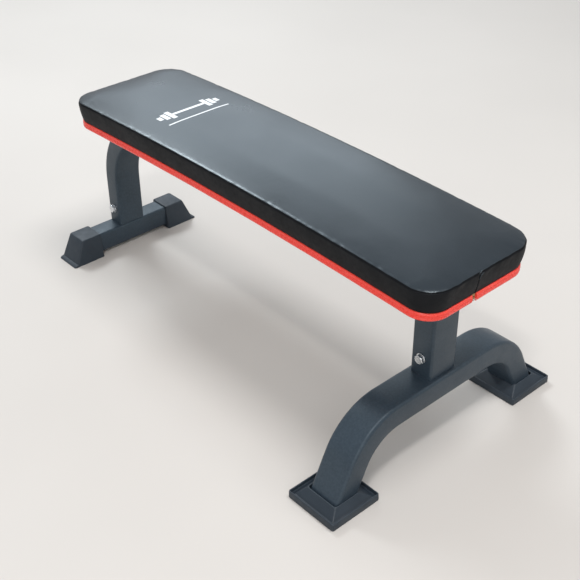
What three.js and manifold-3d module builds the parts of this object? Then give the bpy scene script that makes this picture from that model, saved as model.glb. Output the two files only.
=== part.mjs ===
// Flat weight bench: a padded board on a bent beam, with an arched front leg and a low rear base.
// Millimetres. X runs along the bench towards the arched leg, Y across it, Z up from the floor.
import * as THREE from "three";
import { ConvexGeometry } from "three/addons/geometries/ConvexGeometry.js";
import { mergeVertices } from "three/addons/utils/BufferGeometryUtils.js";
import Module from "manifold-3d";

const wasm = await Module();
wasm.setup();

// ---- Driving dimensions -------------------------------------------------------------------
const GAP = 0.3; // between pieces that touch

const PAD_X = 37; // middle of the pad
const BOARD_Z = 374; // underside of the board at its two ends
const BOARD = { length: 1054, width: 266, thickness: 15, corner: 45 };
const TRIM = { face: 3, barbDepth: 9, barbThickness: 2.4, joint: 10, jointY: -20 };
const CUSHION = { length: 1070, width: 282, height: 49, corner: 53, cover: 2 };
const CAMBER = 12; // rise of the pad's middle above its ends

const TUBE_WALL = 2;
const TUBE_CORNER = 5;
const BEAM = { width: 70, depth: 45, bendRadius: 176, frontX: 500 };
const POST = { x: 475, sizeX: 50, sizeY: 70 };
const PLUG = { face: 4, stem: 15, stemWall: 2.5, clearance: 1.2 };
const ARCH = { top: 169, depth: 50, width: 70, flatHalf: 122, bendRadius: 110, lean: 64 };
const ARCH_FOOT = { y: 252, size: 118, rim: 16, rimWall: 3, floor: 4, groove: 9 };
const FOOT_COLLAR = { base: 98, top: 24, margin: 2.5, innerY: 30, outerY: 34 }; // bevel up to the leg
const BASE = { x: -537, size: 50, bottom: 8, capInnerY: 98, capOuterY: 184 };
const CAP = { wall: 3.5, topOuterY: 151, skirtTopY: 177, skirtHeight: 5, floorWidth: 70, tubeEndY: 146 };

const SPIGOT = { wall: 3, clearance: 0.8, height: 68 };
const FRAME_BOLT_RISE = 40; // bolt height above the tube that the joint stands on
const M10 = { shaft: 5, hole: 5.6, acrossFlats: 17, head: 6.4, nut: 10, washerR: 10.5, washer: 2 };
const M8 = { shaft: 4, hole: 4.5, acrossFlats: 13, head: 5.3, washerR: 8.5, washer: 1.6 };
const PLATE = { length: 60, width: 180, thickness: 5, boltY: 70, places: [-235, 330] };
const TEE_NUT = { bore: 4.3, barrel: 5.2, barrelLength: 11, flange: 10, flangeThickness: 1.5 };
const STAPLE = { wire: 1.2, crown: 8.5, legLength: 5, drop: 3.5 };

// ---- Materials ----------------------------------------------------------------------------
const finish = (color, roughness, metalness) => () =>
  new THREE.MeshStandardMaterial({ color, roughness, metalness });
const vinyl = finish(0x2b2d30, 0.42, 0);
const foam = finish(0xc9c2a8, 0.95, 0);
const plywood = finish(0xb58b5a, 0.8, 0);
const redTrim = finish(0xe04a40, 0.4, 0);
const powderCoat = finish(0x3a4148, 0.45, 0.2);
const blackPlastic = finish(0x2c3136, 0.6, 0);
const zinc = finish(0xc4c8cc, 0.3, 1);

// ---- Solids -------------------------------------------------------------------------------
function toSolid(geometry) {
  const bare = new THREE.BufferGeometry();
  const source = geometry.index ? geometry.toNonIndexed() : geometry;
  bare.setAttribute("position", source.getAttribute("position"));
  const merged = mergeVertices(bare, 1e-3);
  return new wasm.Manifold(
    new wasm.Mesh({
      numProp: 3,
      vertProperties: merged.attributes.position.array,
      triVerts: new Uint32Array(merged.index.array),
    }),
  );
}

function toGeometry(solid) {
  const mesh = solid.getMesh();
  const geometry = new THREE.BufferGeometry();
  geometry.setAttribute("position", new THREE.BufferAttribute(mesh.vertProperties, 3));
  geometry.setIndex(new THREE.BufferAttribute(mesh.triVerts, 1));
  geometry.computeVertexNormals();
  return geometry;
}

function cut(geometry, ...tools) {
  return toGeometry(tools.reduce((left, tool) => left.subtract(toSolid(tool)), toSolid(geometry)));
}

function join(geometry, ...others) {
  return toGeometry(others.reduce((sum, other) => sum.add(toSolid(other)), toSolid(geometry)));
}

// ---- Shapes -------------------------------------------------------------------------------
function roundedRect(width, height, radius) {
  const x = width / 2 - radius;
  const y = height / 2 - radius;
  const shape = new THREE.Shape();
  shape.absarc(x, -y, radius, -Math.PI / 2, 0);
  shape.absarc(x, y, radius, 0, Math.PI / 2);
  shape.absarc(-x, y, radius, Math.PI / 2, Math.PI);
  shape.absarc(-x, -y, radius, Math.PI, 1.5 * Math.PI);
  return shape;
}

function tubeSection(width, depth, wall = TUBE_WALL, corner = TUBE_CORNER) {
  const section = roundedRect(width, depth, corner);
  section.holes.push(roundedRect(width - 2 * wall, depth - 2 * wall, corner - wall));
  return section;
}

// A flat shape raised from z = bottom.
function slab(shape, bottom, height, curveSegments = 5) {
  const options = { depth: height, curveSegments, bevelEnabled: false };
  return new THREE.ExtrudeGeometry(shape, options).translate(0, 0, bottom);
}

function cylinderAlong(axis, radius, from, to, at, sides = 14) {
  const geometry = new THREE.CylinderGeometry(radius, radius, to - from, sides);
  geometry.translate(0, (from + to) / 2, 0);
  if (axis === "z") geometry.rotateX(Math.PI / 2);
  return geometry.translate(...at);
}

function ringAlong(axis, outer, inner, from, to, at) {
  const profile = [
    new THREE.Vector2(inner, from),
    new THREE.Vector2(outer, from),
    new THREE.Vector2(outer, to),
    new THREE.Vector2(inner, to),
    new THREE.Vector2(inner, from),
  ];
  const geometry = new THREE.LatheGeometry(profile, 14);
  if (axis === "z") geometry.rotateX(Math.PI / 2);
  return geometry.translate(...at);
}

function hexAlong(axis, acrossFlats, from, to, at) {
  return cylinderAlong(axis, acrossFlats / Math.sqrt(3), from, to, at, 6);
}

// A path given as stations: the extrusion puts exactly one section at each of them.
class StationPath extends THREE.Curve {
  constructor(stations) {
    super();
    this.stations = stations;
  }
  getPoint(t, target = new THREE.Vector3()) {
    const last = this.stations.length - 1;
    const i = Math.min(Math.floor(t * last + 1e-9), last - 1);
    return target.lerpVectors(this.stations[i], this.stations[i + 1], t * last - i);
  }
  getPointAt(u, target) {
    return this.getPoint(u, target);
  }
  getTangentAt(u, target = new THREE.Vector3()) {
    const last = this.stations.length - 1;
    const i = Math.round(u * last);
    const before = this.stations[Math.max(i - 1, 0)].clone().sub(this.stations[i]).negate().normalize();
    const after = this.stations[Math.min(i + 1, last)].clone().sub(this.stations[i]).normalize();
    return target.copy(before).add(after).normalize();
  }
}

function sweep(section, stations) {
  const extrudePath = new StationPath(stations);
  const options = { extrudePath, steps: stations.length - 1, bevelEnabled: false, curveSegments: 2 };
  return new THREE.ExtrudeGeometry(section, options);
}

// ---- Pad ----------------------------------------------------------------------------------
const camberAt = (x) => CAMBER * (1 - ((x - PAD_X) / (CUSHION.length / 2)) ** 2);

// Lifts a flat piece onto the pad's camber.
function bend(geometry) {
  const position = geometry.getAttribute("position");
  for (let i = 0; i < position.count; i++) position.setZ(i, position.getZ(i) + camberAt(position.getX(i)));
  return geometry;
}

const BOARD_TOP = BOARD_Z + BOARD.thickness;
const PAD_STEPS = 12;

// A cambered layer of the pad, with a rounded outline inset from the size given.
function padLayer({ length, width, corner }, inset, bottom, height) {
  const block = new THREE.BoxGeometry(length + 60, width + 60, height, PAD_STEPS, 1, 1);
  const outline = roundedRect(length - 2 * inset, width - 2 * inset, corner - inset);
  const column = slab(outline, bottom - 30, height + 60).translate(PAD_X, 0, 0);
  const bent = bend(block.translate(PAD_X, 0, bottom + height / 2));
  return toGeometry(toSolid(bent).intersect(toSolid(column)));
}

function baseBoard() {
  const slotHeight = TRIM.barbThickness + 2 * GAP;
  const slotZ = BOARD_Z + (BOARD.thickness - slotHeight) / 2;
  const uncut = padLayer(BOARD, TRIM.barbDepth + GAP, slotZ - 1, slotHeight + 2);
  const slot = cut(padLayer(BOARD, -5, slotZ, slotHeight), uncut);
  const tools = [slot];
  for (const { x, y } of padBoltPlaces()) {
    tools.push(cylinderAlong("z", TEE_NUT.barrel + GAP, BOARD_Z - 5, BOARD_Z + 50, [x, y, 0]));
    const seat = BOARD_TOP + camberAt(x) - TEE_NUT.flangeThickness - 2 * GAP;
    tools.push(cylinderAlong("z", TEE_NUT.flange + GAP, seat, seat + 20, [x, y, 0]));
  }
  return cut(padLayer(BOARD, 0, BOARD_Z, BOARD.thickness), ...tools);
}

// T-section edge band: a face round the board's edge, and a barb pressed into its slot.
function edgeTrim() {
  const barbZ = BOARD_Z + (BOARD.thickness - TRIM.barbThickness) / 2;
  const face = padLayer(BOARD, -TRIM.face, BOARD_Z, BOARD.thickness);
  const insideFace = padLayer(BOARD, -GAP, BOARD_Z - 5, BOARD.thickness + 10);
  const barb = padLayer(BOARD, -GAP - 0.5, barbZ, TRIM.barbThickness);
  const insideBarb = padLayer(BOARD, TRIM.barbDepth, BOARD_Z - 5, BOARD.thickness + 10);
  const endX = PAD_X + BOARD.length / 2;
  const joint = new THREE.BoxGeometry(60, TRIM.joint, 60).translate(endX, TRIM.jointY, BOARD_Z);
  return cut(join(cut(face, insideFace), cut(barb, insideBarb)), joint);
}

function trimStaple() {
  const { wire, crown, legLength, drop } = STAPLE;
  const x = PAD_X + BOARD.length / 2 + 2 * GAP;
  const z = BOARD_Z + BOARD.thickness / 2 + camberAt(x) - drop;
  const leg = (y) => new THREE.BoxGeometry(legLength, wire, wire).translate(x + legLength / 2, y, z);
  const bar = new THREE.BoxGeometry(wire, crown, wire).translate(x + wire / 2, TRIM.jointY, z);
  const legs = [-1, 1].map((side) => leg(TRIM.jointY + (side * (crown - wire)) / 2));
  return join(bar, ...legs);
}

// Stitched vinyl over the foam, open below where it is stapled to the board.
function vinylCover() {
  const bottom = BOARD_TOP + GAP;
  const inner = padLayer(CUSHION, CUSHION.cover, bottom - 8, CUSHION.height - CUSHION.cover + 8 - GAP);
  return cut(padLayer(CUSHION, 0, bottom, CUSHION.height - GAP), inner);
}

function foamCore() {
  const inset = CUSHION.cover + GAP;
  return padLayer(CUSHION, inset, BOARD_TOP + GAP, CUSHION.height - GAP - inset);
}

// ---- Pad fixings --------------------------------------------------------------------------
function padBoltPlaces() {
  return PLATE.places.flatMap((x) => [-PLATE.boltY, PLATE.boltY].map((y) => ({ x, y })));
}

const PLATE_TOP = BOARD_Z - GAP;
const PLATE_BOTTOM = PLATE_TOP - PLATE.thickness;

function mountPlate(x) {
  const flat = slab(roundedRect(PLATE.length, PLATE.width, 6), PLATE_BOTTOM, PLATE.thickness);
  const holes = [-1, 1].map((side) => cylinderAlong("z", M8.hole, 300, 450, [x, side * PLATE.boltY, 0]));
  return cut(bend(flat.translate(x, 0, 0)), ...holes);
}

function padBolt({ x, y }) {
  const under = PLATE_BOTTOM - GAP - M8.washer - GAP;
  const head = hexAlong("z", M8.acrossFlats, under - M8.head, under, [x, y, 0]);
  const shaft = cylinderAlong("z", M8.shaft, under - 1, BOARD_Z + 12, [x, y, 0]);
  return bend(join(head, shaft));
}

function padWasher({ x, y }) {
  const top = PLATE_BOTTOM - GAP;
  return bend(ringAlong("z", M8.washerR, M8.shaft + GAP, top - M8.washer, top, [x, y, 0]));
}

function teeNut({ x, y }) {
  const { bore, barrel, barrelLength, flange, flangeThickness } = TEE_NUT;
  const top = BOARD_TOP - GAP;
  const rim = ringAlong("z", flange, bore, top - flangeThickness, top, [x, y, 0]);
  const body = ringAlong("z", barrel, bore, top - barrelLength, top - 0.5, [x, y, 0]);
  return bend(join(rim, body));
}

// ---- Beam and rear leg --------------------------------------------------------------------
const BASE_TOP = BASE.bottom + BASE.size;
const beamCentreZ = (x) => PLATE_BOTTOM - GAP + camberAt(x) - BEAM.depth / 2;

function beamStations() {
  const startX = BASE.x + BEAM.bendRadius;
  const bendZ = beamCentreZ(startX) - BEAM.bendRadius;
  const stations = [new THREE.Vector3(BASE.x, 0, BASE_TOP + GAP), new THREE.Vector3(BASE.x, 0, 120)];
  const bendSteps = 10;
  for (let i = 0; i <= bendSteps; i++) {
    const angle = (i / bendSteps) * (Math.PI / 2);
    const x = startX - BEAM.bendRadius * Math.cos(angle);
    stations.push(new THREE.Vector3(x, 0, bendZ + BEAM.bendRadius * Math.sin(angle)));
  }
  const beamSteps = 7;
  for (let i = 1; i <= beamSteps; i++) {
    const x = startX + ((BEAM.frontX - startX) * i) / beamSteps;
    stations.push(new THREE.Vector3(x, 0, beamCentreZ(x)));
  }
  return stations;
}

// The bent leg and the straight beam are welded where the bend ends, under the pad.
const BUTT_X = BASE.x + BEAM.bendRadius;

function bentTube() {
  return sweep(tubeSection(BEAM.width, BEAM.depth), beamStations());
}

function rearLeg() {
  const hole = cylinderAlong("y", M10.hole, -60, 0, [BASE.x, 0, BASE_TOP + FRAME_BOLT_RISE]);
  const ahead = new THREE.BoxGeometry(1200, 200, 900).translate(BUTT_X + 600, 0, 250);
  return cut(bentTube(), hole, ahead);
}

function mainBeam() {
  const behind = new THREE.BoxGeometry(600, 200, 900).translate(BUTT_X + GAP - 300, 0, 250);
  return cut(bentTube(), behind);
}

// Plastic plug in the beam's open front end: a face plate and a hollow stem.
function beamEndPlug() {
  const { face, stem, stemWall, clearance } = PLUG;
  const stemWidth = BEAM.width - 2 * TUBE_WALL - 2 * clearance;
  const stemDepth = BEAM.depth - 2 * TUBE_WALL - 2 * clearance;
  const hollowPlan = roundedRect(stemWidth - 2 * stemWall, stemDepth - 2 * stemWall, 1);
  const plate = slab(roundedRect(BEAM.width, BEAM.depth, TUBE_CORNER), 0, face, 3);
  const body = join(plate, slab(roundedRect(stemWidth, stemDepth, 2), -stem, stem + 1));
  const plug = cut(body, slab(hollowPlan, -stem - 5, stem + 6));
  plug.rotateZ(Math.PI / 2).rotateY(Math.PI / 2);
  return plug.translate(BEAM.frontX + clearance, 0, beamCentreZ(BEAM.frontX));
}

function rearBaseTube() {
  const half = CAP.tubeEndY;
  const tube = slab(tubeSection(BASE.size, BASE.size), -half, 2 * half, 3);
  return tube.rotateX(Math.PI / 2).translate(BASE.x, 0, BASE.bottom + BASE.size / 2);
}

// Slip-on end cap that raises the base tube off the floor; side is -1 or 1 along Y.
function rearFootCap(side) {
  const top = BASE_TOP + CAP.wall;
  const topHalf = BASE.size / 2 + CAP.wall;
  const floorHalf = CAP.floorWidth / 2;
  const corners = [];
  for (const x of [-1, 1]) {
    corners.push(new THREE.Vector3(x * floorHalf, BASE.capInnerY, 0));
    corners.push(new THREE.Vector3(x * floorHalf, CAP.skirtTopY, 0));
    corners.push(new THREE.Vector3(x * topHalf, BASE.capInnerY, top));
    corners.push(new THREE.Vector3(x * topHalf, CAP.topOuterY, top));
  }
  const lip = [];
  for (const x of [-floorHalf, floorHalf]) {
    lip.push(new THREE.Vector3(x, CAP.skirtTopY - 12, 0));
    lip.push(new THREE.Vector3(x, CAP.skirtTopY - 12, CAP.skirtHeight));
    lip.push(new THREE.Vector3(x, CAP.skirtTopY + 2, CAP.skirtHeight));
    lip.push(new THREE.Vector3(x, BASE.capOuterY, 1.5));
    lip.push(new THREE.Vector3(x, BASE.capOuterY, 0));
  }
  const socketSize = BASE.size + 2 * GAP;
  const depth = CAP.tubeEndY + GAP - 80;
  const socket = slab(roundedRect(socketSize, socketSize, TUBE_CORNER), 0, depth, 3);
  socket.rotateX(-Math.PI / 2).translate(0, 80, BASE.bottom + BASE.size / 2);
  const cap = cut(join(new ConvexGeometry(corners), new ConvexGeometry(lip)), socket);
  if (side < 0) cap.rotateZ(Math.PI);
  return cap.translate(BASE.x, 0, 0);
}

// ---- Front post and arched leg ------------------------------------------------------------
const POST_BOTTOM = ARCH.top + GAP;
const POST_TOP = beamCentreZ(BEAM.frontX) - BEAM.depth / 2 - GAP;

function frontPost() {
  const tube = slab(tubeSection(POST.sizeX, POST.sizeY), POST_BOTTOM, POST_TOP - POST_BOTTOM, 3);
  tube.translate(POST.x, 0, 0);
  return cut(tube, cylinderAlong("y", M10.hole, -60, 0, [POST.x, 0, ARCH.top + FRAME_BOLT_RISE]));
}

// Half of the arch's centre line, from the middle of its flat top out to the foot.
function archHalf(side) {
  const lean = THREE.MathUtils.degToRad(ARCH.lean);
  const centreZ = ARCH.top - ARCH.depth / 2;
  const bendSteps = 7;
  const points = [];
  for (let i = 0; i <= bendSteps; i++) {
    const angle = (i / bendSteps) * lean;
    const y = ARCH.flatHalf + ARCH.bendRadius * Math.sin(angle);
    points.push(new THREE.Vector3(POST.x, side * y, centreZ - ARCH.bendRadius * (1 - Math.cos(angle))));
  }
  const reach = points[bendSteps].z / Math.sin(lean) + 20;
  const end = points[bendSteps].clone();
  end.add(new THREE.Vector3(0, side * reach * Math.cos(lean), -reach * Math.sin(lean)));
  points.push(end);
  return points;
}

const archStations = () => [...archHalf(-1).reverse(), ...archHalf(1)];

function archedLeg() {
  const tube = sweep(tubeSection(ARCH.width, ARCH.depth), archStations());
  const below = ARCH_FOOT.floor + GAP;
  return cut(tube, new THREE.BoxGeometry(200, 1000, 200).translate(POST.x, 0, below - 100));
}

// Square rubber foot with a raised rim, a groove and a pyramid collar round the leg's end.
function archFoot(side) {
  const { y, size, rim, rimWall, groove } = ARCH_FOOT;
  const plan = (width, radius) => roundedRect(width, width, radius);
  const base = slab(plan(size, 3), 0, rim, 3);
  const recess = slab(plan(size - 2 * rimWall, 1.5), groove, rim, 2);
  const collar = [];
  for (const sx of [-1, 1]) {
    for (const sy of [-1, 1]) {
      const topX = ARCH.width / 2 + FOOT_COLLAR.margin;
      const topY = sy > 0 ? FOOT_COLLAR.outerY : -FOOT_COLLAR.innerY;
      collar.push(new THREE.Vector3((sx * FOOT_COLLAR.base) / 2, (sy * FOOT_COLLAR.base) / 2, groove));
      collar.push(new THREE.Vector3(sx * topX, topY * side, FOOT_COLLAR.top));
    }
  }
  const foot = join(cut(base, recess), new ConvexGeometry(collar)).translate(POST.x, side * y, 0);
  const socket = sweep(roundedRect(ARCH.width + 2 * GAP, ARCH.depth + 2 * GAP, TUBE_CORNER), archStations());
  const floor = new THREE.BoxGeometry(200, 1000, 200).translate(POST.x, 0, ARCH_FOOT.floor - 100);
  return cut(foot, cut(socket, floor));
}

// ---- Frame joints -------------------------------------------------------------------------
// Short tube welded to the leg or base below; the upright slips over it and is bolted through.
function spigot(x, bottom, outerX, outerY) {
  const { wall, clearance, height } = SPIGOT;
  const inside = (size) => size - 2 * TUBE_WALL - 2 * clearance;
  const section = tubeSection(inside(outerX), inside(outerY), wall, 4);
  const tube = slab(section, bottom + GAP, height, 3).translate(x, 0, 0);
  return cut(tube, cylinderAlong("y", M10.hole, -60, 0, [x, 0, bottom + FRAME_BOLT_RISE]));
}

// The bolt goes through the near walls into a nut inside the spigot; the far side stays plain.
function frameJoint(prefix, x, bottom, outerY) {
  const at = [x, 0, bottom + FRAME_BOLT_RISE];
  const face = -outerY / 2 - GAP;
  const seat = face - M10.washer - GAP;
  const inside = -outerY / 2 + TUBE_WALL + SPIGOT.clearance + SPIGOT.wall + GAP;
  const nutStart = inside + M10.washer + GAP;
  const nutEnd = nutStart + M10.nut;
  const head = hexAlong("y", M10.acrossFlats, seat - M10.head, seat, at);
  const shaft = cylinderAlong("y", M10.shaft, seat - 1, nutEnd + 4, at);
  const nut = hexAlong("y", M10.acrossFlats, nutStart, nutEnd, at);
  const washerBore = M10.shaft + GAP;
  const bore = cylinderAlong("y", washerBore, nutStart - 5, nutEnd + 5, at);
  add(`${prefix}_hex_bolt`, join(head, shaft), zinc);
  add(`${prefix}_bolt_washer`, ringAlong("y", M10.washerR, washerBore, face - M10.washer, face, at), zinc);
  add(`${prefix}_nut_washer`, ringAlong("y", M10.washerR, washerBore, inside, inside + M10.washer, at), zinc);
  add(`${prefix}_lock_nut`, cut(nut, bore), zinc);
}

// ---- Assembly -----------------------------------------------------------------------------
const bench = new THREE.Group();

function add(name, geometry, material) {
  const mesh = new THREE.Mesh(geometry, material());
  mesh.name = name;
  bench.add(mesh);
}

add("vinyl_cover", vinylCover(), vinyl);
add("foam_core", foamCore(), foam);
add("base_board", baseBoard(), plywood);
add("edge_trim", edgeTrim(), redTrim);
add("edge_trim_staple", trimStaple(), zinc);

["rear", "front"].forEach((end, i) => add(`${end}_mount_plate`, mountPlate(PLATE.places[i]), powderCoat));
padBoltPlaces().forEach((place, i) => {
  const label = `${i < 2 ? "rear" : "front"}_${i % 2 ? "right" : "left"}`;
  add(`pad_bolt_${label}`, padBolt(place), zinc);
  add(`pad_washer_${label}`, padWasher(place), zinc);
  add(`tee_nut_${label}`, teeNut(place), zinc);
});

add("rear_leg", rearLeg(), powderCoat);
add("main_beam", mainBeam(), powderCoat);
add("beam_end_plug", beamEndPlug(), blackPlastic);
add("rear_base_tube", rearBaseTube(), powderCoat);
add("rear_foot_cap_left", rearFootCap(-1), blackPlastic);
add("rear_foot_cap_right", rearFootCap(1), blackPlastic);

add("front_post", frontPost(), powderCoat);
add("arched_leg", archedLeg(), powderCoat);
add("arch_foot_left", archFoot(-1), blackPlastic);
add("arch_foot_right", archFoot(1), blackPlastic);

add("front_spigot", spigot(POST.x, ARCH.top, POST.sizeX, POST.sizeY), powderCoat);
add("rear_spigot", spigot(BASE.x, BASE_TOP, BEAM.depth, BEAM.width), powderCoat);
frameJoint("front", POST.x, ARCH.top, POST.sizeY);
frameJoint("rear", BASE.x, BASE_TOP, BEAM.width);

export default bench;
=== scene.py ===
"""Looks for the flat weight bench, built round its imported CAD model. Metres, in the row frame."""

import math

import bmesh
import bpy
import numpy as np
from mathutils import Matrix, Vector
from mathutils.bvhtree import BVHTree
from mathutils.kdtree import KDTree


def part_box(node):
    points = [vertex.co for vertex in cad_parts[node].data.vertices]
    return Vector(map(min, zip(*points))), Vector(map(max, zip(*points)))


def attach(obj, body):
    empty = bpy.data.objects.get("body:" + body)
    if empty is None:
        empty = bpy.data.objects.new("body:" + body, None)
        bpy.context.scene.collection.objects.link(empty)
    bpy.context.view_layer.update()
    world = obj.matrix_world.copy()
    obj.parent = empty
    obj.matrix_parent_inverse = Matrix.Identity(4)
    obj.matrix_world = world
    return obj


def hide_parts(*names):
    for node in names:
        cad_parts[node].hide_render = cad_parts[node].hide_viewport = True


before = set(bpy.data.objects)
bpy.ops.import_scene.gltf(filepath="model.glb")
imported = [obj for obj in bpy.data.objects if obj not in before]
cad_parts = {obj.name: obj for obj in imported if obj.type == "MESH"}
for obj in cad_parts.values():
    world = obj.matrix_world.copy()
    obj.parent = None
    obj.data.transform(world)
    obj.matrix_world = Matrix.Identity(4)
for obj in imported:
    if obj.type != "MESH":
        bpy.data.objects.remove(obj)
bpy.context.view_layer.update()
MM = 0.001

# ---- Dimensions, from the frame where it gives them ----------------------------------------
COVER_LOW, COVER_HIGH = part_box("vinyl_cover")
BOARD_LOW, BOARD_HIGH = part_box("base_board")
PAD_X = (COVER_LOW.x + COVER_HIGH.x) / 2
PAD_HALF = (COVER_HIGH.x - COVER_LOW.x) / 2
PAD_WIDE = (COVER_HIGH.y - COVER_LOW.y) / 2
PAD_CORNER = 53 * MM
CAMBER = 12 * MM
BOARD_HALF = (BOARD_HIGH.x - BOARD_LOW.x) / 2
BOARD_WIDE = (BOARD_HIGH.y - BOARD_LOW.y) / 2
BOARD_THICK = 15 * MM
BOARD_CORNER = 45 * MM


def camber(x):
    """Rise of the pad, board and beam at x above their ends."""
    return CAMBER * (1 - ((x - PAD_X) / PAD_HALF) ** 2)


BOARD_Z = BOARD_LOW.z - camber(BOARD_HIGH.x)
BOARD_TOP = BOARD_Z + BOARD_THICK


# ---- Node materials --------------------------------------------------------------------------
class Shader:
    """A Principled material whose nodes read the row frame's coordinates."""

    def __init__(self, name, **values):
        self.material = bpy.data.materials.new(name)
        self.material.use_nodes = True
        self.tree = self.material.node_tree
        self.surface = self.tree.nodes["Principled BSDF"]
        self.place = self.add("ShaderNodeTexCoord").outputs["Object"]
        for socket, value in values.items():
            self.surface.inputs[socket.replace("_", " ")].default_value = value

    def add(self, kind, inputs=None, **settings):
        node = self.tree.nodes.new(kind)
        for key, value in settings.items():
            setattr(node, key, value)
        for key, value in (inputs or {}).items():
            if isinstance(value, bpy.types.NodeSocket):
                self.tree.links.new(value, node.inputs[key])
            else:
                node.inputs[key].default_value = value
        return node

    def stretched(self, x, y, z):
        return self.add("ShaderNodeMapping", {"Vector": self.place, "Scale": (x, y, z)}).outputs[0]

    def noise(self, scale, detail=3.0, roughness=0.5, place=None):
        inputs = {"Vector": place or self.place, "Scale": scale, "Detail": detail, "Roughness": roughness}
        return self.add("ShaderNodeTexNoise", inputs).outputs["Fac"]

    def cells(self, scale, feature="F1", place=None):
        inputs = {"Vector": place or self.place, "Scale": scale}
        return self.add("ShaderNodeTexVoronoi", inputs, feature=feature).outputs["Distance"]

    def remap(self, value, low, high, to_low, to_high):
        inputs = {0: value, 1: low, 2: high, 3: to_low, 4: to_high}
        return self.add("ShaderNodeMapRange", inputs).outputs[0]

    def math(self, operation, a, b):
        return self.add("ShaderNodeMath", {0: a, 1: b}, operation=operation).outputs[0]

    def ramp(self, value, *stops):
        node = self.add("ShaderNodeValToRGB", {"Fac": value})
        elements = node.color_ramp.elements
        while len(elements) < len(stops):
            elements.new(0.5)
        for element, (position, color) in zip(elements, stops):
            element.position = position
            element.color = (*color, 1)
        return node.outputs["Color"]

    def mix(self, factor, a, b):
        node = self.add("ShaderNodeMix", data_type="RGBA")
        for index, value in ((0, factor), (6, a), (7, b)):
            if isinstance(value, bpy.types.NodeSocket):
                self.tree.links.new(value, node.inputs[index])
            elif index:
                node.inputs[index].default_value = (*value, 1)
            else:
                node.inputs[index].default_value = value
        return node.outputs[2]

    def bump(self, height, strength, distance, normal=None):
        inputs = {"Height": height, "Strength": strength, "Distance": distance}
        if normal is not None:
            inputs["Normal"] = normal
        return self.add("ShaderNodeBump", inputs).outputs["Normal"]

    def wear(self, radius, low, high):
        """1 on sharp convex edges, 0 elsewhere."""
        bevel = self.add("ShaderNodeBevel", {"Radius": radius}, samples=4).outputs["Normal"]
        true = self.add("ShaderNodeNewGeometry").outputs["Normal"]
        dot = self.add("ShaderNodeVectorMath", {0: bevel, 1: true}, operation="DOT_PRODUCT").outputs["Value"]
        return self.remap(dot, high, low, 0.0, 1.0)

    def link(self, **sockets):
        for name, value in sockets.items():
            self.tree.links.new(value, self.surface.inputs[name.replace("_", " ")])
        return self.material


def vinyl_material():
    """Black PVC leathercloth: fine pebble grain, satin, a little cloudier where it is handled."""
    s = Shader("black_vinyl", Specular_IOR_Level=0.5, Specular_Tint=(0.84, 0.95, 1.0, 1.0))
    cloud = s.noise(9.0, 4.0)
    pebble = s.cells(820.0, "SMOOTH_F1")
    creases = s.cells(430.0, "DISTANCE_TO_EDGE")
    grain = s.math("ADD", s.math("MULTIPLY", pebble, 0.7), s.remap(creases, 0.0, 0.12, 0.0, 0.5))
    color = s.ramp(cloud, (0.35, (0.0085, 0.0130, 0.0185)), (0.68, (0.0125, 0.0180, 0.0245)))
    fine = s.bump(grain, 0.22, 0.00016)
    normal = s.bump(s.noise(34.0, 3.0), 0.08, 0.0012, fine)
    rough = s.remap(s.math("ADD", cloud, s.math("MULTIPLY", s.noise(260.0), 0.3)), 0.4, 0.95, 0.27, 0.35)
    return s.link(Base_Color=color, Roughness=rough, Normal=normal)


def side_vinyl_painted_shade_material():
    """The side band is the same vinyl, duller, because it isn't stretched as tight, and darker in colour:
    painted shade on its upright faces.
    """
    s = Shader("black_vinyl_side_painted_shade", Specular_IOR_Level=0.14)
    cloud = s.noise(14.0, 4.0)
    pebble = s.cells(820.0, "SMOOTH_F1")
    # painted shade: the side band's colour is darker than the top vinyl's so the upright faces look shaded
    color = s.ramp(cloud, (0.35, (0.0040, 0.0046, 0.0060)), (0.68, (0.0065, 0.0074, 0.0092)))
    normal = s.bump(s.noise(46.0, 3.0), 0.22, 0.0012, s.bump(pebble, 0.35, 0.00014))
    rough = s.remap(s.noise(120.0), 0.3, 0.7, 0.50, 0.60)
    return s.link(Base_Color=color, Roughness=rough, Normal=normal)


def red_material():
    """Extruded red PVC edging: lengthwise die lines and faint scuffs."""
    s = Shader("red_edging", Specular_IOR_Level=0.5, Subsurface_Weight=0.05, Subsurface_Scale=0.002)
    along = s.noise(60.0, 3.0, place=s.stretched(1.0, 1.0, 26.0))
    scuff = s.noise(210.0, 6.0, 0.65)
    color = s.ramp(along, (0.3, (0.82, 0.050, 0.034)), (0.7, (0.91, 0.074, 0.052)))
    faded = s.mix(s.remap(scuff, 0.62, 0.80, 0.0, 0.15), color, (0.76, 0.16, 0.13))
    normal = s.bump(along, 0.2, 0.0004, s.bump(scuff, 0.08, 0.0002))
    rough = s.remap(scuff, 0.3, 0.8, 0.22, 0.36)
    return s.link(Base_Color=faded, Roughness=rough, Normal=normal)


def powder_material():
    """Charcoal powder coat on steel: orange-peel skin, paler on edges."""
    s = Shader("powder_coat", Specular_IOR_Level=0.5, Specular_Tint=(0.80, 0.93, 1.0, 1.0))
    broad = s.math("MULTIPLY", s.noise(7.0, 4.0), 0.45)
    cloud = s.math("ADD", broad, s.math("MULTIPLY", s.noise(230.0, 4.0), 0.55))
    peel = s.noise(900.0, 2.0)
    color = s.ramp(cloud, (0.3, (0.017, 0.027, 0.039)), (0.7, (0.037, 0.053, 0.071)))
    edge = s.wear(0.0016, 0.80, 0.97)
    rubbed = s.math("MULTIPLY", edge, s.remap(s.noise(55.0, 5.0), 0.42, 0.66, 0.15, 1.0))
    color = s.mix(s.math("MULTIPLY", rubbed, 0.55), color, (0.15, 0.18, 0.21))
    normal = s.bump(peel, 0.30, 0.00022, s.bump(s.noise(30.0, 3.0), 0.06, 0.001))
    rough = s.remap(s.noise(45.0, 5.0), 0.3, 0.7, 0.36, 0.46)
    return s.link(Base_Color=color, Roughness=rough, Normal=normal)


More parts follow.
